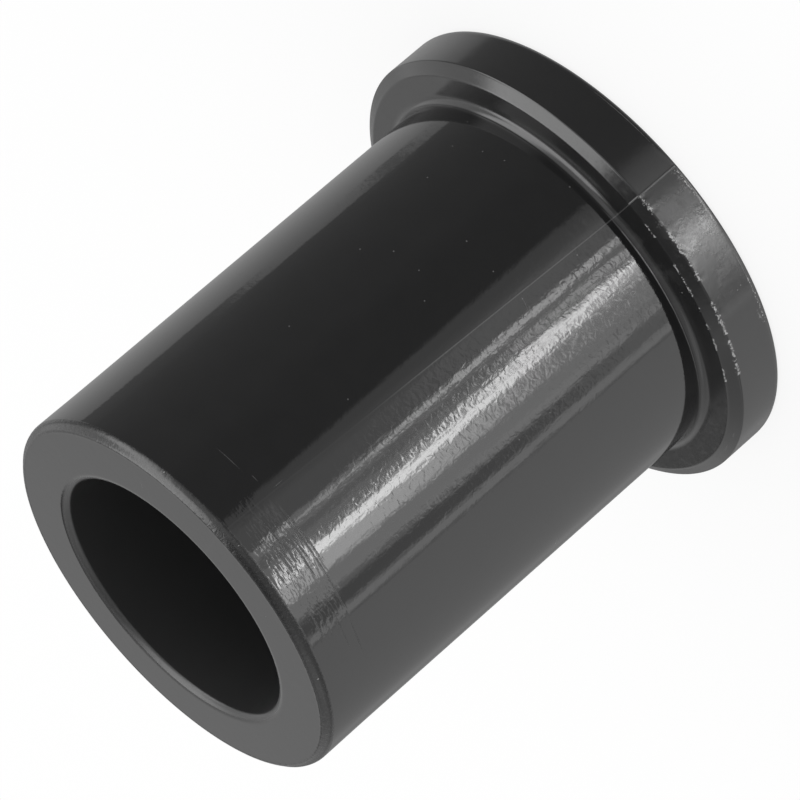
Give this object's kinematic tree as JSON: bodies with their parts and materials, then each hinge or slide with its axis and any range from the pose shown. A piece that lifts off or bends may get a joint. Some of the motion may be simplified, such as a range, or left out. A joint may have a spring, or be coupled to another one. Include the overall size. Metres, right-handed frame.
{
  "type": "flanged bush",
  "caption": "Black moulded plastic bush with a thick round barrel, a plain through bore and a bevelled flange at one end.",
  "frame": {"origin": "centre of the bore on the flange's outer face, which the bush stands on", "axes": "+Z along the bore from the flange towards the free end of the barrel; round about Z, with the mould seam that shows in the picture on the -Y side"},
  "size_m": [0.0344, 0.0344, 0.04],
  "materials": {
    "moulded_plastic": "glossy as moulded, with a faint mould seam, light scuffs and fine rings near the free end"
  },
  "bodies": {
    "root": {"bushing": "moulded_plastic"}
  },
  "joints": []
}
